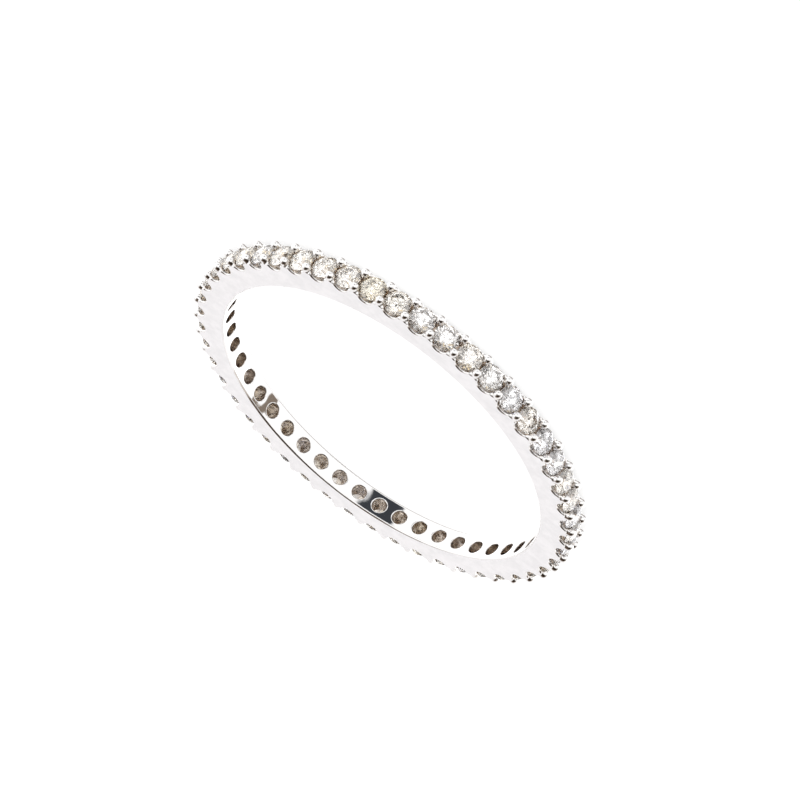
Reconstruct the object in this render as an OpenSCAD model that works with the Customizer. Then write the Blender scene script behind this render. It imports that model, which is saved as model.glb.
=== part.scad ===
// Full eternity ring, lying on its side, in millimetres.
// The finger hole's axis is Z, and the lower side face lies on z = 0.
// Round brilliants stand all the way round, the first one on the +X axis.
// Two posts with round beads stand between neighbouring stones, one at each side of the band.

/* [Finger hole and band] */
// Inner diameter, which is the finger size
inner_d = 17.2; // [15:0.1:22]
// Width of the band along the finger
band_w = 1.26; // [1.22:0.01:1.5]
// Rounding of the two edges of the finger hole
edge_r = 0.1; // [0.04:0.01:0.15]

/* [Stones] */
// Diameter of each stone across its girdle
stone_d = 1.2; // [1.1:0.01:1.35]
// Least gap between neighbouring stones
stone_gap = 0.1; // [0.1:0.01:0.2]
// Height of the girdle's straight rim
girdle_t = 0.04; // [0.02:0.005:0.06]
// Slope of the upper main facets, in degrees
crown_angle = 34; // [30:0.5:37]
// Slope of the lower main facets, in degrees
pavilion_angle = 41; // [39:0.5:43]
// Width of the table as a share of the stone's diameter
table_share = 0.57; // [0.5:0.01:0.64]
// Length of the star facets as a share of the way from table to girdle
star_share = 0.5; // [0.4:0.01:0.6]
// Length of the lower half facets as a share of the way from girdle to culet
lower_half_share = 0.77; // [0.65:0.01:0.85]

/* [Setting] */
// Distance from the finger to the point of each stone
culet_cover = 0.83; // [0.6:0.01:1]
// Clearance between each stone and its seat
seat_gap = 0.03; // [0.02:0.005:0.05]
// Depth of the U notches below the girdle
notch_depth = 0.29; // [0.26:0.01:0.4]
// Width of the metal between two notches, at the girdle
post_w = 0.58; // [0.48:0.01:0.6]
// Radius of the prongs and of the beads on their ends
prong_r = 0.205; // [0.18:0.005:0.23]
// Height of the beads' centres above the girdle's lower edge
bead_lift = 0.19; // [0.14:0.01:0.24]
// Distance from the prongs to the band's side faces
prong_inset = 0.01; // [0.005:0.005:0.04]
// Depth of the saddle between two opposite prongs, below the girdle
saddle_depth = 0.22; // [0.15:0.01:0.3]

/* [Windows in the inner wall] */
// Diameter of the round window under each stone
window_d = 0.69; // [0.5:0.01:0.78]
// Chamfer at the window's edge
window_chamfer = 0.04; // [0.01:0.005:0.06]

/* [Hidden] */
$fn = 48;
// How far a cutter runs past the surface that it cuts
past = 0.2;
inner_r = inner_d / 2;
stone_r = stone_d / 2;
table_r = stone_r * table_share;
window_r = window_d / 2;
crown_h = (stone_r - table_r) * tan(crown_angle);
pavilion_h = stone_r * tan(pavilion_angle);
// Distances from the ring's axis
girdle_r = inner_r + culet_cover + pavilion_h;
rail_r = girdle_r - notch_depth;
saddle_r = girdle_r - saddle_depth;
post_r = girdle_r + girdle_t;
bead_r = girdle_r + bead_lift;
// Distance from the band's middle plane to the prongs
prong_z = band_w / 2 - prong_r - prong_inset;
// As many stones as fit with their least gap, spread evenly
least_half_step = atan(stone_r / girdle_r) + asin(stone_gap / 2 / norm([stone_r, girdle_r]));
stone_count = floor(180 / least_half_step);
step = 360 / stone_count;
notch_w = 2 * girdle_r * tan(step / 2) - post_w;

// Puts its children i stone steps round the ring, with z = 0 at the band's middle plane
module turned(i) {
    rotate([0, 0, i * step]) translate([0, 0, band_w / 2]) children();
}

// Stands its children on their Z axis, pointing outwards from the distance r
module outwards(r) {
    translate([r, 0, 0]) rotate([0, 90, 0]) children();
}

// Cross section of the band, with the two edges of the finger hole rounded
module band_section() {
    difference() {
        translate([inner_r, -band_w / 2]) square([post_r - inner_r, band_w]);
        for (side = [0, 1]) mirror([0, side])
            translate([inner_r, -band_w / 2]) edge_waste();
    }
}

// What the rounding takes off one edge
module edge_waste() {
    difference() {
        translate([-past, -past]) square(edge_r + past);
        translate([edge_r, edge_r]) circle(edge_r);
    }
}

// U notch with a round bottom, cut across the whole band
module notch() {
    bottom_r = notch_w / 2;
    translate([0, 0, -band_w / 2 - past]) linear_extrude(band_w + 2 * past) {
        translate([rail_r + bottom_r, 0]) circle(bottom_r);
        translate([rail_r + bottom_r, -bottom_r]) square(notch_w);
    }
}

// Groove round the band that leaves a low saddle between opposite prongs
module saddle_groove() {
    groove_w = 2 * prong_z - prong_r;
    translate([0, 0, -groove_w / 2]) difference() {
        cylinder(r = post_r + past, h = groove_w);
        translate([0, 0, -past]) cylinder(r = saddle_r, h = groove_w + 2 * past);
    }
}

// Round window through the inner wall, and above it the seat: the stone's shape and a clearance
module stone_bore() {
    floor_h = inner_r - girdle_r;
    mouth_r = window_r + window_chamfer;
    reach = stone_r + seat_gap;
    down = seat_gap / cos(pavilion_angle);
    up = seat_gap / cos(crown_angle);
    lid_h = girdle_t + crown_h + up;
    outwards(girdle_r) rotate_extrude() polygon([
        [0, floor_h - past],
        [mouth_r, floor_h - past],
        [mouth_r, floor_h],
        [window_r, floor_h + window_chamfer],
        [window_r, (window_r - stone_r) * tan(pavilion_angle) - down],
        [reach, seat_gap * tan(pavilion_angle) - down],
        [reach, girdle_t + up - seat_gap * tan(crown_angle)],
        [table_r, lid_h],
        [0, lid_h]
    ]);
}

// Round post with a bead on its end
module prong() {
    tall = bead_r - rail_r;
    outwards(rail_r) rotate_extrude() {
        square([prong_r, tall]);
        translate([0, tall]) intersection() {
            circle(prong_r);
            translate([0, -prong_r / 2]) square(2 * prong_r);
        }
    }
}

// One step of the band, from the middle of one stone to the middle of the next
module band_step() {
    difference() {
        union() {
            difference() {
                rotate([0, 0, -step / 2]) rotate_extrude(angle = step) band_section();
                for (side = [-1, 1]) rotate([0, 0, side * step / 2]) notch();
                saddle_groove();
            }
            for (side = [-1, 1]) translate([0, 0, side * prong_z]) prong();
        }
        for (side = [-1, 1]) rotate([0, 0, side * step / 2]) stone_bore();
    }
}

module band() {
    color("gainsboro") for (i = [0 : stone_count - 1]) turned(i + 0.5) band_step();
}

// A point of a stone, from its distance to the stone's axis, its angle and its height
function spot(r, angle, h) = [r * cos(angle), r * sin(angle), h];

// Round brilliant with a 16-sided girdle, whose lower edge is at z = 0
module brilliant() {
    fold = 360 / 8;
    crown_top = girdle_t + crown_h;
    table_edge_r = table_r * cos(fold / 2);
    star_r = table_edge_r + star_share * (stone_r - table_edge_r);
    star_h = crown_top - (star_r * cos(fold / 2) - table_r) * tan(crown_angle);
    low_r = (1 - lower_half_share) * stone_r;
    low_h = low_r * cos(fold / 2) * tan(pavilion_angle) - pavilion_h;
    corners = concat(
        [for (k = [0 : 7]) spot(table_r, k * fold, crown_top)],
        [for (k = [0 : 7]) spot(star_r, (k + 0.5) * fold, star_h)],
        [for (k = [0 : 15]) spot(stone_r, k * fold / 2, girdle_t)],
        [for (k = [0 : 15]) spot(stone_r, k * fold / 2, 0)],
        [for (k = [0 : 7]) spot(low_r, (k + 0.5) * fold, low_h)],
        [[0, 0, -pavilion_h]]
    );
    // Where each set of corners starts in that list, after the table's
    star = 8;
    rim = 16;
    foot = 32;
    low = 48;
    culet = 56;
    table = [[for (k = [7 : -1 : 0]) k]];
    stars = [for (k = [0 : 7]) [k, (k + 1) % 8, star + k]];
    bezels = [for (k = [0 : 7]) [k, star + k, rim + 2 * k, star + (k + 7) % 8]];
    upper_halves = [for (k = [0 : 7], facet = [
        [star + k, rim + 2 * k + 1, rim + 2 * k],
        [star + k, rim + (2 * k + 2) % 16, rim + 2 * k + 1]
    ]) facet];
    girdle = [for (k = [0 : 15]) [foot + k, rim + k, rim + (k + 1) % 16, foot + (k + 1) % 16]];
    lower_halves = [for (k = [0 : 7], facet = [
        [low + k, foot + 2 * k, foot + 2 * k + 1],
        [low + k, foot + 2 * k + 1, foot + (2 * k + 2) % 16]
    ]) facet];
    mains = [for (k = [0 : 7]) [culet, low + (k + 7) % 8, foot + 2 * k, low + k]];
    polyhedron(corners, concat(table, stars, bezels, upper_halves, girdle, lower_halves, mains));
}

module stones() {
    color("white") for (i = [0 : stone_count - 1]) turned(i) outwards(girdle_r) brilliant();
}

band();
stones();
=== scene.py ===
"""Looks of a full eternity ring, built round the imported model. Metres, in the same frame as the model."""
import math

import bpy
import numpy as np
from mathutils import Matrix, Vector


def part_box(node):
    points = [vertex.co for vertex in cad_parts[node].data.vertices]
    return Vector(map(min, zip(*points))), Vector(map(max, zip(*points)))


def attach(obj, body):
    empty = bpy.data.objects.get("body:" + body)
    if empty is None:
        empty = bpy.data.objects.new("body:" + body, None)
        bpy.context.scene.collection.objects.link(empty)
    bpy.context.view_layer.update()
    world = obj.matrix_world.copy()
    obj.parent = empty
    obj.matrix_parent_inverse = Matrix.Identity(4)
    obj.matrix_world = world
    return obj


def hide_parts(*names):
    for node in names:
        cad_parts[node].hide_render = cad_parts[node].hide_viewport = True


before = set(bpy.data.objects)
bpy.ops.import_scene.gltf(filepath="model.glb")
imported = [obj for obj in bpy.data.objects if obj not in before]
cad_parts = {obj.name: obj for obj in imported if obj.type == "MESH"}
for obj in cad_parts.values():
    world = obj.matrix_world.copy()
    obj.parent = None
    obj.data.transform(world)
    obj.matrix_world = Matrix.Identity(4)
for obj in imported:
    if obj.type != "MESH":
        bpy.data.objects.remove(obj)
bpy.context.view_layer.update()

MM = 0.001

# The ring's sizes in millimetres, the same as in the model
INNER_R = 8.6
BAND_W = 1.26
STONE_COUNT = 48
STONE_R = 0.6
GIRDLE_T = 0.04
CROWN = math.radians(34)
PAVILION = math.radians(41)
TABLE_SHARE = 0.57
STAR_SHARE = 0.5
LOWER_HALF_SHARE = 0.77
CULET_COVER = 0.83
SEAT_GAP = 0.03
NOTCH_DEPTH = 0.29
SADDLE_DEPTH = 0.22
POST_W = 0.58
PRONG_R = 0.205
PRONG_INSET = 0.01
BEAD_LIFT = 0.19
WINDOW_R = 0.345

# Sizes that follow from them
TABLE_R = TABLE_SHARE * STONE_R
CROWN_H = (STONE_R - TABLE_R) * math.tan(CROWN)
PAVILION_H = STONE_R * math.tan(PAVILION)
GIRDLE_R = INNER_R + CULET_COVER + PAVILION_H
RAIL_R = GIRDLE_R - NOTCH_DEPTH
SADDLE_R = GIRDLE_R - SADDLE_DEPTH
POST_R = GIRDLE_R + GIRDLE_T
BEAD_R = GIRDLE_R + BEAD_LIFT
PRONG_Z = BAND_W / 2 - PRONG_R - PRONG_INSET
STEP = math.tau / STONE_COUNT
NOTCH_R = (2 * GIRDLE_R * math.tan(STEP / 2) - POST_W) / 2

# Height of the band's middle plane in the frame, in millimetres
band_low, band_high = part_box("band")
LIFT = (band_low.z + band_high.z) / 2 / MM

# Roundings of the cast and polished metal, in millimetres
HOLE_EDGE = 0.1
OUTER_EDGE = 0.05
NOTCH_LIP = 0.09
SADDLE_LIP = 0.05
POST_FOOT = 0.06
WINDOW_LIP = 0.06
SEAT_LIP = 0.012

# Mesh of one step of the band: size of a cell in millimetres, and its number of triangles once thinned
CELL = 0.025
STEP_TRIANGLES = 4050
# Cells that the grid takes in beyond the metal. The first isn't whole, so that no node lies on the wall.
INNER_MARGIN = 2.3
OUTER_MARGIN = 3
# Rounds in which points move onto the surface, and their longest move in one, before and after thinning
FIRST_FIT = 4, 0.5 * CELL
LAST_FIT = 3, 0.4 * CELL
# Least numbers that a squared slope and a length are taken to be where something is divided by them
LEAST_SLOPE = 0.05
LEAST_LENGTH = 1e-9
# Distance from a triangle's middle to its corners from which it counts as large, in millimetres
LARGE = 0.03
# Difference in radians below which two angles are the same
SAME_ANGLE = 1e-5

# Painted shade in the recesses: millimetres over which it fades round a seat, with depth, and at a saddle's
# sides
SEAT_FADE = 0.03
DEPTH_FADE = 0.05
SIDE_FADE = 0.08
# How far it reaches over a saddle and under the bottom of a notch, in millimetres
OVER_SADDLE = 0.1
UNDER_NOTCH = 0.2
# How much of it the windows have
WINDOW_SHADE = 0.6

# Stones: folds of their symmetry, sides of the girdle, and usual lean in degrees
FOLDS = 8
GIRDLE_SIDES = 64
LEAN = 0.8
# Powers that keep most stones nearly free of a warm tint and of a cool one
WARM_POWER = 3
COOL_POWER = 4

# Camera, solved from the photograph. Lengths are in units of the finger hole's radius.
HOLE_R = INNER_R * MM
ROLL = math.radians(-38.82)
TILT = math.radians(64.98)
TURN = math.radians(180.6)
SHIFT_X = -0.0646
SHIFT_Y = -0.0705
DISTANCE = 28.49
# Pixels of one unit at that distance, and of the frame's longer side
UNIT_PX = 192.5
FRAME_PX = 803
SENSOR_MM = 36.0
# Nearest and farthest that the camera sees, in metres
NEAREST = 0.01
FARTHEST = 5.0

# White gold: its colour where it is polished, the pair that the satin varies between, and the pair of
# darker colours painted into the recesses as shade
POLISHED = (0.86, 0.85, 0.84, 1)
SATIN = (0.78, 0.77, 0.775, 1), (0.86, 0.845, 0.85, 1)
RECESS_PAINTED_SHADE = (0.52, 0.435, 0.365, 1), (0.64, 0.555, 0.475, 1)
# Scales of its noises, in cells to the metre
WAVES = 800.0
MOTTLE = 1900.0
FINE = 9000.0
# Scales of the polishing marks: cells to the radian round the ring, and to the metre across it
MARKS_ROUND = 9.0
MARKS_ACROSS = 22000.0
# Values of the noises between which the satin's colour, the recesses' painted shade and the roughness
# change
SATIN_SPAN = 0.3, 0.7
PAINTED_SHADE_SPAN = 0.35, 0.7
ROUGH_SPAN = 0.4, 0.8
# Distances in millimetres from a side face at which the satin begins and is full
SATIN_BEGINS = 0.006
SATIN_FULL = 0.002
# Roughness of the polish, from and to, and what satin and recesses add to it
POLISH_ROUGH = 0.04, 0.08
SATIN_ROUGH = 0.24
RECESS_ROUGH = 0.22
# Share of the light that the satin's fine scratches scatter all round
SATIN_SCATTER = 0.5
# Bump: weights of the marks, of what satin adds to them, of the waves, which satin lacks, and of the mottle
MARKS_WEIGHT = 0.12
SATIN_MARKS_WEIGHT = 0.2
WAVES_WEIGHT = 26.0
MOTTLE_WEIGHT = 0.8
BUMP_STRENGTH = 0.12
BUMP_DISTANCE = 0.02 * MM

# Diamond: its colours when clear, warm, cool and in a cloud, and the most that a cool stone has of its tint
CLEAR = (0.98, 0.943, 0.878, 1)
WARM = (0.93, 0.87, 0.73, 1)
COOL = (0.90, 0.92, 0.985, 1)
CLOUDED = (0.90, 0.88, 0.86, 1)
COOL_SHARE = 0.8
REFRACTION = 2.417
# Clouds: scale of their noise in cells to the metre, the values between which they come up, and their share
CLOUDS = 4000.0
CLOUD_SPAN = 0.55, 0.8
CLOUD_SHARE = 0.0, 0.5
# Haze: its scale and values in the same way, and the share of light that passes outside it and in it
HAZE = 5200.0
HAZE_SPAN = 0.42, 0.75
HAZE_CLARITY = 1.0, 0.68

# Floor: half its side in metres, its grey and its own light
FLOOR_HALF = 1.5
FLOOR_GREY = (0.36, 0.36, 0.36, 1)
FLOOR_GLOW = 0.72

# The studio's white, and over it the dark things and lamps that the metal and the stones mirror. Columns:
# degrees from the camera towards the photograph's right, and degrees up in the photograph, both as seen
# from the ring, then half the width and half the height in degrees, and the colour. A row covers the rows
# before it.
WHITE = (1.22, 1.215, 1.22, 1)
STUDIO = (
    (-20, -56, 120, 48, (0.68, 0.62, 0.57, 1)),
    (-143, -42, 84, 62, (1.03, 1.01, 1.015, 1)),
    (-28, -50, 88, 40, (0.15, 0.108, 0.080, 1)),
    (-6, -43, 54, 30, (0.034, 0.024, 0.017, 1)),
    (4, 58, 26, 12, (0.050, 0.055, 0.064, 1)),
    (140, -15, 44, 27, (1.9, 1.9, 1.92, 1)),
    (-130, 36, 46, 30, (1.7, 1.7, 1.72, 1)),
    (146, 37, 40, 25, (0.26, 0.22, 0.19, 1)),
    (79, -5, 4, 10, (0.26, 0.21, 0.17, 1)),
    (74, 49, 12, 12, (0.060, 0.050, 0.045, 1)),
    (59, -28, 11, 12, (0.040, 0.032, 0.028, 1)),
    (-36, -5, 14, 15, (0.075, 0.058, 0.046, 1)),
)
# What light through the stones sees over these, in the same columns: first white, which hides the shade
# that outlines the beads, then lamps, warm and cool walls, and a large shade
THROUGH = (
    (146, 37, 42, 27, WHITE),
    (38, 30, 38, 30, (2.0, 2.0, 2.05, 1)),
    (-62, 22, 30, 34, (1.05, 0.86, 0.56, 1)),
    (104, 30, 22, 30, (0.80, 0.84, 1.20, 1)),
    (118, -20, 38, 34, (2.3, 2.3, 2.33, 1)),
    (-95, -15, 42, 44, (1.3, 1.24, 1.14, 1)),
    (-160, -20, 66, 66, (0.31, 0.25, 0.195, 1)),
)
# Where each row starts to fade and where it ends, as shares of half its width and height
FADE = 0.75, 1.1
# Unevenness of the light through the stones: scale and detail of its noise, the values of the noise
# between which the strength changes, and the strength at each of them
CLUTTER_SCALE = 12.0
CLUTTER_DETAIL = 3.0
CLUTTER_SPAN = 0.38, 0.62
CLUTTER_STRENGTH = 0.54, 1.42


def length(*parts):
    """Length of each vector, from its parts."""
    return np.sqrt(sum(p * p for p in parts))


def cut_round(a, b, r):
    """Intersection of two forms, given as distances, with the edge between them rounded."""
    return np.minimum(-r, np.maximum(a, b)) + length(np.maximum(a + r, 0), np.maximum(b + r, 0))


def join_round(a, b, r):
    """Union of two forms with a fillet between them."""
    return np.maximum(r, np.minimum(a, b)) - length(np.maximum(r - a, 0), np.maximum(r - b, 0))


def stone_distance(q, h, gap):
    """Distance to a brilliant's round outline grown by a gap, at distance q from its axis and height h."""
    under = (q - STONE_R) * math.sin(PAVILION) - h * math.cos(PAVILION)
    over = (q - STONE_R) * math.sin(CROWN) + (h - GIRDLE_T) * math.cos(CROWN)
    return np.maximum(np.maximum(under, over), q - STONE_R) - gap


def band_distance(p):
    """Signed distance to the metal, with a stone's axis along X and the middle plane at z = 0."""
    x, y, z = p[:, 0], np.abs(p[:, 1]), np.abs(p[:, 2])
    r = length(x, y)
    body = cut_round(INNER_R - r, z - BAND_W / 2, HOLE_EDGE)
    body = cut_round(body, r - POST_R, OUTER_EDGE)
    notch = length(np.minimum(x - RAIL_R - NOTCH_R, 0), y) - NOTCH_R
    body = cut_round(body, -notch, NOTCH_LIP)
    saddle = np.maximum(z - (PRONG_Z - PRONG_R / 2), SADDLE_R - r)
    body = cut_round(body, -saddle, SADDLE_LIP)
    half = STEP / 2
    along = x * math.cos(half) + y * math.sin(half)
    across = y * math.cos(half) - x * math.sin(half)
    prong = length(across, z - PRONG_Z, np.maximum(along - BEAD_R, 0)) - PRONG_R
    body = join_round(body, np.maximum(prong, RAIL_R - along), POST_FOOT)
    body = np.maximum(body, z - BAND_W / 2)
    q = length(y, z)
    body = cut_round(body, WINDOW_R - q, WINDOW_LIP)
    return cut_round(body, -stone_distance(q, x - GIRDLE_R, SEAT_GAP), SEAT_LIP)


def about_axis(angle):
    """Matrix that turns points, which are rows, about the ring's axis."""
    c, s = math.cos(angle), math.sin(angle)
    return np.array([[c, s, 0], [-s, c, 0], [0, 0, 1]])


def over_post():
    """Matrix that mirrors points, which are rows, in the plane of the ring's axis and the first post."""
    c, s = math.cos(STEP), math.sin(STEP)
    return np.array([[c, s, 0], [s, -c, 0], [0, 0, 1]])


def to_sector(p):
    """Points of a step mirrored about its post, so that they lie on the side of the step's first stone."""
    far = np.arctan2(p[:, 1], p[:, 0]) > STEP / 2
    return np.where(far[:, None], p @ over_post(), p)


def step_distance(p):
    """Signed distance to the metal for points of a whole step, from one stone's axis to the next."""
    return band_distance(to_sector(p))


def gradient(f, p, h=1e-4):
    """Slopes of f at each point, from its values at the distance h to both sides."""
    out = np.empty_like(p)
    for k in range(3):
        d = np.zeros(3)
        d[k] = h
        out[:, k] = (f(p + d) - f(p - d)) / (2 * h)
    return out


def fit_to_surface(f, p, pin, rounds, longest):
    """Moves points onto the zero level of f; pin puts back those that have to stay in a place."""
    for _ in range(rounds):
        g = gradient(f, p)
        move = (f(p) / np.maximum((g * g).sum(1), LEAST_SLOPE))[:, None] * g
        size = np.maximum(length(*move.T), LEAST_LENGTH)
        p = pin(p - move * np.minimum(1, longest / size)[:, None])
    return p


def part(along):
    """Index of a part of a grid: along says what to take on some axes, and the others are taken whole."""
    return tuple(along.get(axis, slice(None)) for axis in range(3))


def surface_net(f, xs, ys, zs, place):
    """Quads over the zero level of f on a grid of nodes; place turns grid coordinates into points.

    Returns the corners in grid coordinates, the quads, and the cell that each corner lies in.
    """
    grid = np.stack(np.meshgrid(xs, ys, zs, indexing="ij"), -1)
    value = f(place(grid.reshape(-1, 3))).reshape(grid.shape[:3])
    inside = value < 0
    cells = tuple(n - 1 for n in value.shape)
    total = np.zeros(cells + (3,))
    count = np.zeros(cells)
    earlier, later = slice(0, -1), slice(1, None)
    crossings = []
    for axis in range(3):
        here, ahead = part({axis: earlier}), part({axis: later})
        cross = inside[here] != inside[ahead]
        drop = np.where(cross, value[here] - value[ahead], 1)
        t = np.where(cross, value[here] / drop, 0)[..., None]
        point = grid[here] * (1 - t) + grid[ahead] * t
        a, b = (k for k in range(3) if k != axis)
        # a cell's corner is the mean of the crossings on its edges, of which four run along each axis
        for side_a in (later, earlier):
            for side_b in (later, earlier):
                edge = part({a: side_a, b: side_b})
                total += np.where(cross[edge][..., None], point[edge], 0)
                count += cross[edge]
        crossings.append((axis, a, b, cross, inside[here]))
    used = count > 0
    index = np.full(cells, -1)
    index[used] = np.arange(used.sum())
    corners = total[used] / count[used][:, None]
    quads = []
    for axis, a, b, cross, start_in in crossings:
        where = np.argwhere(cross[part({a: slice(1, -1), b: slice(1, -1)})])
        where[:, a] += 1
        where[:, b] += 1
        # the four cells round each crossed edge, in turn
        ring = []
        for step_a, step_b in ((-1, -1), (0, -1), (0, 0), (-1, 0)):
            cell = where.copy()
            cell[:, a] += step_a
            cell[:, b] += step_b
            ring.append(index[tuple(cell.T)])
        ring = np.stack(ring, 1)
        flip = start_in[tuple(where.T)] ^ (axis == 1)
        ring[~flip] = ring[~flip][:, ::-1]
        quads.append(ring)
    return corners, np.concatenate(quads), np.argwhere(used)


def polar(p):
    """Points from their distance to the ring's axis, their angle and their height."""
    return np.stack([p[:, 0] * np.cos(p[:, 1]), p[:, 0] * np.sin(p[:, 1]), p[:, 2]], 1)


def quarter_step():
    """A quarter of one step: from a stone's axis to a post's, and from the middle plane to a side face.

    Returns its points, its quads and which points lie on the stone's plane.
    """
    n_turn = round(GIRDLE_R * STEP / 2 / CELL)
    n_side = round(BAND_W / 2 / CELL)
    turn_h = STEP / 2 / n_turn
    side_h = BAND_W / 2 / n_side
    rs = np.arange(INNER_R - INNER_MARGIN * CELL, BEAD_R + PRONG_R + OUTER_MARGIN * CELL, CELL)
    # half a cell off the planes of symmetry, so that these pass through the middles of cells
    turns = (np.arange(n_turn + 2) - 0.5) * turn_h
    sides = (np.arange(n_side + 3) - 0.5) * side_h
    corners, quads, cells = surface_net(band_distance, rs, turns, sides, polar)
    first = cells[:, 1] == 0
    last = cells[:, 1] == n_turn
    middle = cells[:, 2] == 0
    half = np.array([math.cos(STEP / 2), math.sin(STEP / 2)])

    def pin(p):
        """Puts the points of the planes of symmetry back on them."""
        p = p.copy()
        p[first, 1] = 0
        p[middle, 2] = 0
        p[last, :2] = (p[last, :2] @ half)[:, None] * half
        return p

    return fit_to_surface(band_distance, pin(polar(corners)), pin, *FIRST_FIT), quads, first


def add_mirrored(points, quads, ends, mirrored):
    """Joins a mesh with its mirrored points, whose quads run the other way round."""
    quads = np.concatenate([quads, quads[:, ::-1] + len(points)])
    return np.concatenate([points, mirrored]), quads, np.concatenate([ends, ends])


def weld(points, faces, digits=5):
    """Joins points that coincide, and returns the kept points, the faces and which points were kept."""
    _, keep, back = np.unique(np.round(points, digits), axis=0, return_index=True, return_inverse=True)
    return points[keep], back.reshape(-1)[faces], keep


def whole_step():
    """One step of the band from one stone's axis to the next, with the post in the middle."""
    points, quads, ends = quarter_step()
    points, quads, ends = add_mirrored(points, quads, ends, points * [1, 1, -1])
    points, quads, ends = add_mirrored(points, quads, ends, points @ over_post())
    points, quads, keep = weld(points, quads)
    return points, quads, ends[keep]


def thin_out(points, quads, locked, triangles):
    """Thins a mesh to a number of triangles, with the locked points left as they are."""
    mesh = bpy.data.meshes.new("thinning")
    mesh.from_pydata(points.tolist(), [], quads.tolist())
    obj = bpy.data.objects.new("thinning", mesh)
    bpy.context.scene.collection.objects.link(obj)
    free = obj.vertex_groups.new(name="free")
    free.add(np.flatnonzero(~locked).tolist(), 1.0, "REPLACE")
    free.add(np.flatnonzero(locked).tolist(), 0.0, "REPLACE")
    mod = obj.modifiers.new("thin", "DECIMATE")
    mod.vertex_group = "free"
    mod.use_collapse_triangulate = True
    mod.ratio = triangles / (2 * len(quads))
    thinned = obj.evaluated_get(bpy.context.evaluated_depsgraph_get())
    thin = thinned.to_mesh()
    out = np.empty(len(thin.vertices) * 3)
    thin.vertices.foreach_get("co", out)
    tris = np.empty(len(thin.polygons) * 3, int)
    thin.polygons.foreach_get("vertices", tris)
    thinned.to_mesh_clear()
    bpy.data.objects.remove(obj)
    bpy.data.meshes.remove(mesh)
    return out.reshape(-1, 3), tris.reshape(-1, 3)


def band_mesh():
    """One thinned step, the normals at its triangles' corners, and which points lie at its two ends."""
    points, tris = thin_out(*whole_step(), STEP_TRIANGLES)
    turn = np.arctan2(points[:, 1], points[:, 0])
    start = np.abs(turn) < SAME_ANGLE
    end = np.abs(turn - STEP) < SAME_ANGLE
    locked = start | end
    seam = points[locked]

    def pin(p):
        """Puts the points of the seams back, so that the steps go on fitting together."""
        p = p.copy()
        p[locked] = seam
        return p

    points = fit_to_surface(step_distance, points, pin, *LAST_FIT)
    corners = points[tris]
    inward = corners.mean(1)[:, None] - corners
    reach = length(*np.moveaxis(inward, 2, 0))
    # a large triangle's corners take their normals from inside it, so that it stays as flat as its surface
    shift = np.clip(reach - LARGE, 0, LARGE) / reach
    normals = gradient(step_distance, (corners + inward * shift[..., None]).reshape(-1, 3))
    normals /= np.maximum(length(*normals.T), LEAST_LENGTH)[:, None]
    return points, tris, normals, start, end


def round_the_ring(points, tris, normals, start, end):
    """Copies one step round the ring; the points where a copy ends are those where the next one starts."""
    begin, finish = np.flatnonzero(start), np.flatnonzero(end)
    ahead = points[begin] @ about_axis(STEP)
    gap = length(*np.moveaxis(points[finish][:, None] - ahead[None], 2, 0))
    partner = np.arange(len(points))
    partner[finish] = begin[gap.argmin(1)]
    kept = np.flatnonzero(~end)
    slot = np.zeros(len(points), int)
    slot[kept] = np.arange(len(kept))
    next_step = end.astype(int)
    all_p, all_n, all_t = [], [], []
    for k in range(STONE_COUNT):
        turn = about_axis(k * STEP)
        all_p.append(points[kept] @ turn)
        all_n.append(normals @ turn)
        place = (k + next_step) % STONE_COUNT * len(kept) + slot[partner]
        all_t.append(place[tris])
    return np.concatenate(all_p), np.concatenate(all_t), np.concatenate(all_n)


def make_piece(name, points, faces):
    """Object of points in millimetres, with z = 0 at the band's middle plane."""
    mesh = bpy.data.meshes.new(name)
    mesh.from_pydata(((points + [0, 0, LIFT]) * MM).tolist(), [], faces)
    obj = bpy.data.objects.new(name, mesh)
    bpy.context.scene.collection.objects.link(obj)
    return obj


def put_attribute(mesh, name, values):
    """Gives each point of a mesh a number that its material reads."""
    layer = mesh.attributes.new(name, "FLOAT", "POINT")
    layer.data.foreach_set("value", np.ascontiguousarray(values, dtype=np.float32))


def rise(value, width):
    """Goes from 0, where value is 0 or less, to 1, where it is the width or more."""
    return np.clip(value / width, 0, 1)


def painted_recess_shade_at(points):
    """Painted shade for each point, by how deep it lies in the seats, saddles and windows, from 0 on the
    open faces to 1.
    """
    home = to_sector(points)
    side = np.abs(home[:, 2])
    r = length(home[:, 0], home[:, 1])
    q = length(home[:, 1], home[:, 2])
    under_stone = 1 - rise(stone_distance(q, home[:, 0] - GIRDLE_R, SEAT_GAP), SEAT_FADE)
    in_window = rise(WINDOW_R + WINDOW_LIP - q, WINDOW_LIP) * rise(r - INNER_R, DEPTH_FADE)
    saddle = rise(PRONG_Z - PRONG_R / 4 - side, SIDE_FADE) * rise(SADDLE_R + OVER_SADDLE - r, DEPTH_FADE)
    saddle = saddle * rise(r - RAIL_R + UNDER_NOTCH, DEPTH_FADE)
    return np.maximum(np.maximum(under_stone, saddle), WINDOW_SHADE * in_window)


def build_band():
    """The whole band as one piece, with its own normals and the shade painted into its recesses."""
    points, tris, normals, start, end = band_mesh()
    ring, ring_tris, ring_normals = round_the_ring(points, tris, normals, start, end)
    obj = make_piece("band_metal", ring, ring_tris.tolist())
    mesh = obj.data
    put_attribute(mesh, "painted_recess_shade", np.tile(painted_recess_shade_at(points)[~end], STONE_COUNT))
    mesh.polygons.foreach_set("use_smooth", np.ones(len(mesh.polygons), bool))
    mesh.normals_split_custom_set(ring_normals.tolist())
    return obj


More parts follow.
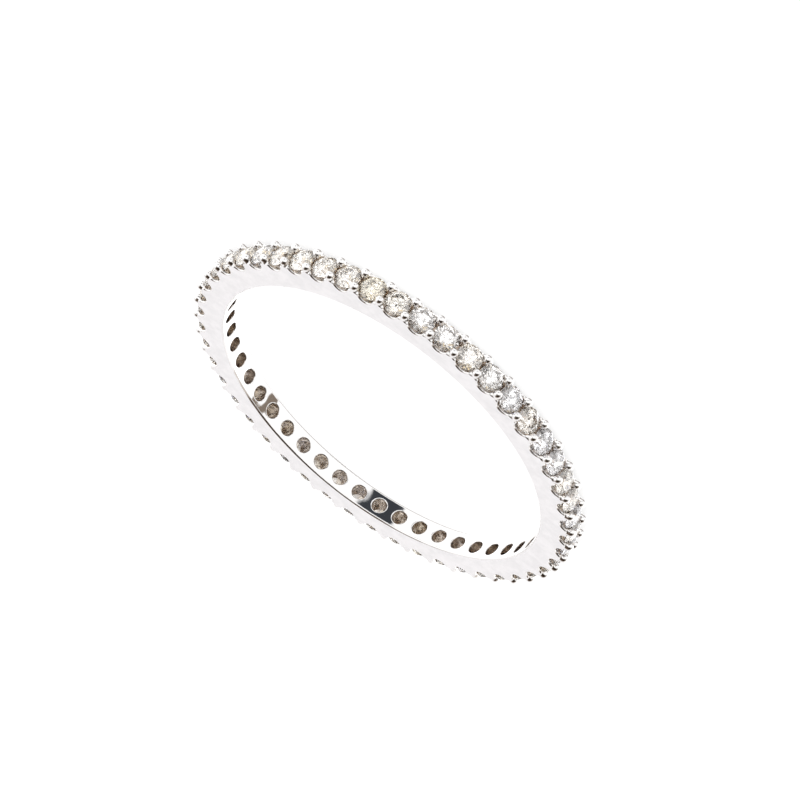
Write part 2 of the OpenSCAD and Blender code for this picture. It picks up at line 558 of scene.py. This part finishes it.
def brilliant():
    """Corners and faces of a round brilliant with a scalloped round girdle, its axis along Z."""
    fold = math.tau / FOLDS
    sides = GIRDLE_SIDES // FOLDS
    top = GIRDLE_T + CROWN_H
    table_edge = TABLE_R * math.cos(fold / 2)
    star_r = table_edge + STAR_SHARE * (STONE_R - table_edge)
    star_h = top - (star_r * math.cos(fold / 2) - TABLE_R) * math.tan(CROWN)
    low_r = (1 - LOWER_HALF_SHARE) * STONE_R
    low_h = low_r * math.cos(fold / 2) * math.tan(PAVILION) - PAVILION_H
    corners, faces = [], []

    def at(r, turn, h):
        return np.array([r * math.cos(turn), r * math.sin(turn), h])

    def spot(r, turn, h):
        corners.append(at(r, turn, h))
        return len(corners) - 1

    table = [spot(TABLE_R, k * fold, top) for k in range(FOLDS)]
    star = [spot(star_r, (k + 0.5) * fold, star_h) for k in range(FOLDS)]
    low = [spot(low_r, (k + 0.5) * fold, low_h) for k in range(FOLDS)]
    culet = spot(0, 0, -PAVILION_H)

    def rim(corner_r, corner_h, edge_h):
        """Corners round the girdle, at the heights where the half facets' planes meet its cylinder."""
        out = []
        for j in range(GIRDLE_SIDES):
            turn = j * math.tau / GIRDLE_SIDES
            half = 2 * j // sides
            corner = at(corner_r, (half // 2 + 0.5) * fold, corner_h)
            begin, finish = (at(STONE_R, h * fold / 2, edge_h) for h in (half, half + 1))
            normal = np.cross(begin - corner, finish - corner)
            x, y, _ = at(STONE_R, turn, edge_h) - corner
            out.append(spot(STONE_R, turn, corner_h - (normal[0] * x + normal[1] * y) / normal[2]))
        return out

    upper = rim(star_r, star_h, GIRDLE_T)
    lower = rim(low_r, low_h, 0.0)
    faces.append(table)
    for k in range(FOLDS):
        faces.append([table[k], star[k], table[(k + 1) % FOLDS]])
        faces.append([table[k], star[k - 1], upper[k * sides], star[k]])
        faces.append([culet, low[k], lower[k * sides], low[k - 1]])
        for a in range(k * sides, (k + 1) * sides):
            b = (a + 1) % GIRDLE_SIDES
            faces.append([star[k], upper[a], upper[b]])
            faces.append([low[k], lower[b], lower[a]])
            faces.append([upper[a], lower[a], lower[b], upper[b]])
    return np.array(corners), faces


def build_stones():
    """All stones as one piece, each with its own spin, lean and tint."""
    corners, faces = brilliant()
    rng = np.random.default_rng(STONE_COUNT)
    all_p, all_f, warm, cool = [], [], [], []
    for k in range(STONE_COUNT):
        spin = rng.uniform(0, math.tau / FOLDS)
        lean = np.radians(rng.normal(0, LEAN, 2))
        leaning = Matrix.Rotation(lean[0], 3, "X") @ Matrix.Rotation(lean[1], 3, "Y")
        p = corners @ np.array(leaning @ Matrix.Rotation(spin, 3, "Z")).T
        # the stone's axis, Z, becomes the ring's outward direction, X
        p = np.stack([p[:, 2] + GIRDLE_R, p[:, 1], -p[:, 0]], 1)
        all_p.append(p @ about_axis(k * STEP))
        all_f += [[i + k * len(corners) for i in f] for f in faces]
        warm += [float(rng.uniform() ** WARM_POWER)] * len(corners)
        cool += [float(rng.uniform() ** COOL_POWER)] * len(corners)
    obj = make_piece("stone_facets", np.concatenate(all_p), all_f)
    put_attribute(obj.data, "warm", warm)
    put_attribute(obj.data, "cool", cool)
    return obj


def make_camera():
    """Adds the camera, and returns its axes, right, up and backwards, as the rows of a matrix."""
    rows = Matrix.Rotation(ROLL, 3, "Z") @ Matrix.Rotation(TILT, 3, "X") @ Matrix.Rotation(TURN, 3, "Z")
    axes = rows.transposed()
    centre = Vector((0.0, 0.0, LIFT * MM))
    place = centre + axes @ Vector((-SHIFT_X, -SHIFT_Y, DISTANCE)) * HOLE_R
    data = bpy.data.cameras.new("camera")
    data.sensor_width = SENSOR_MM
    data.lens = UNIT_PX * DISTANCE / FRAME_PX * SENSOR_MM
    data.clip_start = NEAREST
    data.clip_end = FARTHEST
    cam = bpy.data.objects.new("camera", data)
    cam.matrix_world = Matrix.Translation(place) @ axes.to_4x4()
    bpy.context.scene.collection.objects.link(cam)
    bpy.context.scene.camera = cam
    return rows


class Nodes:
    """Short way of adding and joining shader nodes."""

    def __init__(self, tree):
        self.tree = tree
        tree.nodes.clear()

    def add(self, kind, inputs=None, **settings):
        node = self.tree.nodes.new(kind)
        for key, value in settings.items():
            setattr(node, key, value)
        for key, value in (inputs or {}).items():
            if isinstance(value, bpy.types.NodeSocket):
                self.tree.links.new(value, node.inputs[key])
            else:
                node.inputs[key].default_value = value
        return node

    def math(self, operation, a, b=0.0, c=0.0):
        return self.add("ShaderNodeMath", {0: a, 1: b, 2: c}, operation=operation).outputs[0]

    def dot(self, a, b):
        return self.add("ShaderNodeVectorMath", {0: a, 1: b}, operation="DOT_PRODUCT").outputs["Value"]

    def length(self, a, b):
        """Length of a vector from its parts a and b."""
        squares = self.math("ADD", self.math("MULTIPLY", a, a), self.math("MULTIPLY", b, b))
        return self.math("SQRT", squares)

    def ramp(self, value, lo, hi, out_lo=0.0, out_hi=1.0, kind="SMOOTHSTEP"):
        ends = {"Value": value, "From Min": lo, "From Max": hi, "To Min": out_lo, "To Max": out_hi}
        return self.add("ShaderNodeMapRange", ends, interpolation_type=kind).outputs["Result"]

    def mix(self, share, a, b):
        """Mix of two colours, which are the node's inputs 6 and 7 and its output 2."""
        return self.add("ShaderNodeMix", {"Factor": share, 6: a, 7: b}, data_type="RGBA").outputs[2]

    def attribute(self, name):
        node = self.add("ShaderNodeAttribute", attribute_name=name, attribute_type="GEOMETRY")
        return node.outputs["Fac"]

    def noise(self, vector, scale, detail=2.0, rough=0.5):
        inputs = {"Vector": vector, "Scale": scale, "Detail": detail, "Roughness": rough}
        return self.add("ShaderNodeTexNoise", inputs).outputs["Fac"]


def new_material(name):
    mat = bpy.data.materials.new(name)
    mat.use_nodes = True
    return mat, Nodes(mat.node_tree)


def metal_material():
    """White gold, polished but for the two satin side faces, and duller in the recesses, where shade is
    painted into its colour.
    """
    mat, n = new_material("white_gold")
    place = n.add("ShaderNodeTexCoord").outputs["Object"]
    x, y, z = n.add("ShaderNodeSeparateXYZ", {0: place}).outputs
    # polishing marks run round the ring: long in the turn, short across it
    marks_at = n.add("ShaderNodeCombineXYZ", {
        0: n.math("MULTIPLY", n.math("ARCTAN2", y, x), MARKS_ROUND),
        1: n.math("MULTIPLY", n.length(x, y), MARKS_ACROSS),
        2: n.math("MULTIPLY", z, MARKS_ACROSS),
    }).outputs[0]
    marks = n.noise(marks_at, 1.0, detail=3.0)
    waves = n.noise(place, WAVES, detail=1.0)
    mottle = n.noise(place, MOTTLE, detail=4.0, rough=0.6)
    fine = n.noise(place, FINE, rough=0.6)
    # the two flat side faces are satin, and everything else is polished
    height = n.math("ABSOLUTE", n.math("SUBTRACT", z, LIFT * MM))
    satin = n.ramp(height, (BAND_W / 2 - SATIN_BEGINS) * MM, (BAND_W / 2 - SATIN_FULL) * MM)
    painted_recess_shade = n.attribute("painted_recess_shade")
    satin_colour = n.mix(n.ramp(mottle, *SATIN_SPAN), *SATIN)
    painted_shade_colour = n.mix(n.ramp(fine, *PAINTED_SHADE_SPAN), *RECESS_PAINTED_SHADE)
    # painted shade: the recesses are mixed towards a darker, browner colour by their depth
    colour = n.mix(painted_recess_shade, n.mix(satin, POLISHED, satin_colour), painted_shade_colour)
    rough = n.math("ADD", n.math("MULTIPLY", satin, SATIN_ROUGH), n.ramp(fine, *ROUGH_SPAN, *POLISH_ROUGH))
    rough = n.math("ADD", rough, n.math("MULTIPLY", painted_recess_shade, RECESS_ROUGH))
    grain = n.math("MULTIPLY", marks, n.math("MULTIPLY_ADD", satin, SATIN_MARKS_WEIGHT, MARKS_WEIGHT))
    waves_weight = n.math("MULTIPLY_ADD", satin, -WAVES_WEIGHT, WAVES_WEIGHT)
    unevenness = n.math("MULTIPLY_ADD", waves, waves_weight, n.math("MULTIPLY", mottle, MOTTLE_WEIGHT))
    bump = n.add("ShaderNodeBump", {
        "Strength": BUMP_STRENGTH, "Distance": BUMP_DISTANCE, "Height": n.math("ADD", grain, unevenness),
    }).outputs[0]
    # the satin is less metallic, for the light that it scatters all round
    metallic = n.math("MULTIPLY_ADD", satin, -SATIN_SCATTER, 1.0)
    shader = n.add("ShaderNodeBsdfPrincipled", {
        "Base Color": colour, "Metallic": metallic, "Roughness": rough, "Normal": bump,
    })
    n.add("ShaderNodeOutputMaterial", {"Surface": shader.outputs[0]})
    return mat


def gem_material():
    """Diamond, with each stone's own warm or cool tint, faint clouds and a little haze."""
    mat, n = new_material("diamond")
    place = n.add("ShaderNodeTexCoord").outputs["Object"]
    clouds = n.noise(place, CLOUDS, detail=3.0, rough=0.7)
    colour = n.mix(n.attribute("warm"), CLEAR, WARM)
    colour = n.mix(n.math("MULTIPLY", n.attribute("cool"), COOL_SHARE), colour, COOL)
    colour = n.mix(n.ramp(clouds, *CLOUD_SPAN, *CLOUD_SHARE), colour, CLOUDED)
    # here and there a haze of fine inclusions scatters a little light
    haze = n.noise(place, HAZE, detail=3.0, rough=0.6)
    clarity = n.ramp(haze, *HAZE_SPAN, *HAZE_CLARITY)
    shader = n.add("ShaderNodeBsdfPrincipled", {
        "Base Color": colour, "Roughness": 0.0, "IOR": REFRACTION, "Transmission Weight": clarity,
    })
    n.add("ShaderNodeOutputMaterial", {"Surface": shader.outputs[0]})
    return mat


def make_floor():
    """White floor, which takes the ring's faint shadow; the metal and stones mirror the studio alone."""
    mesh = bpy.data.meshes.new("floor")
    s = FLOOR_HALF
    mesh.from_pydata([(-s, -s, 0), (s, -s, 0), (s, s, 0), (-s, s, 0)], [], [(0, 1, 2, 3)])
    obj = bpy.data.objects.new("floor", mesh)
    bpy.context.scene.collection.objects.link(obj)
    obj.visible_glossy = False
    obj.visible_transmission = False
    mat, n = new_material("floor")
    soft = n.add("ShaderNodeBsdfDiffuse", {"Color": FLOOR_GREY}).outputs[0]
    glow = n.add("ShaderNodeEmission", {"Color": (1, 1, 1, 1), "Strength": FLOOR_GLOW}).outputs[0]
    both = n.add("ShaderNodeAddShader", {0: soft, 1: glow}).outputs[0]
    n.add("ShaderNodeOutputMaterial", {"Surface": both})
    mesh.materials.append(mat)


def make_world(camera_axes):
    """Soft white all round, with the dark things and lamps that the metal and the stones show."""
    world = bpy.data.worlds.new("world")
    bpy.context.scene.world = world
    world.use_nodes = True
    n = Nodes(world.node_tree)
    direction = n.add("ShaderNodeTexCoord").outputs["Generated"]
    right, up, ahead = (n.dot(direction, tuple(axis)) for axis in camera_axes)
    bearing = n.math("ARCTAN2", right, ahead)
    height = n.math("ARCSINE", up)

    def share(across, above, half_w, half_h):
        """How much of a direction one row of the tables takes: 1 inside it, and 0 away from it."""
        turned = n.math("WRAP", n.math("SUBTRACT", bearing, math.radians(across)), math.pi, -math.pi)
        wide = n.math("DIVIDE", turned, math.radians(half_w))
        tall = n.math("DIVIDE", n.math("SUBTRACT", height, math.radians(above)), math.radians(half_h))
        return n.ramp(n.length(wide, tall), *FADE, 1.0, 0.0)

    def cover(colour, rows):
        for *where, shade in rows:
            colour = n.mix(share(*where), colour, shade)
        return colour

    mirrored = cover(WHITE, STUDIO)
    clutter = n.noise(direction, CLUTTER_SCALE, CLUTTER_DETAIL)
    strength = n.ramp(clutter, *CLUTTER_SPAN, *CLUTTER_STRENGTH, kind="LINEAR")
    through = {0: cover(mirrored, THROUGH), 1: strength}
    let_through = n.add("ShaderNodeVectorMath", through, operation="MULTIPLY").outputs[0]
    # the camera and matt surfaces see plain white
    path = n.add("ShaderNodeLightPath").outputs
    plain = n.math("MAXIMUM", path["Is Camera Ray"], path["Is Diffuse Ray"])
    colour = n.mix(plain, n.mix(path["Is Transmission Ray"], mirrored, let_through), WHITE)
    glow = n.add("ShaderNodeBackground", {"Color": colour}).outputs[0]
    n.add("ShaderNodeOutputWorld", {"Surface": glow})


def dress(piece, node, mat):
    """Puts a piece in a node's place, and gives both the material."""
    piece.data.materials.append(mat)
    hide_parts(node)
    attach(piece, "root")
    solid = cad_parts[node].data
    solid.materials.clear()
    solid.materials.append(mat)


camera_axes = make_camera()
metal, gem = metal_material(), gem_material()
dress(build_band(), "band", metal)
dress(build_stones(), "stones", gem)
make_floor()
make_world(camera_axes)
scene = bpy.context.scene
scene.view_settings.view_transform = "Standard"
# enough bounces for light to find its way out of a cut stone
scene.cycles.max_bounces = scene.cycles.glossy_bounces = scene.cycles.transmission_bounces = 24
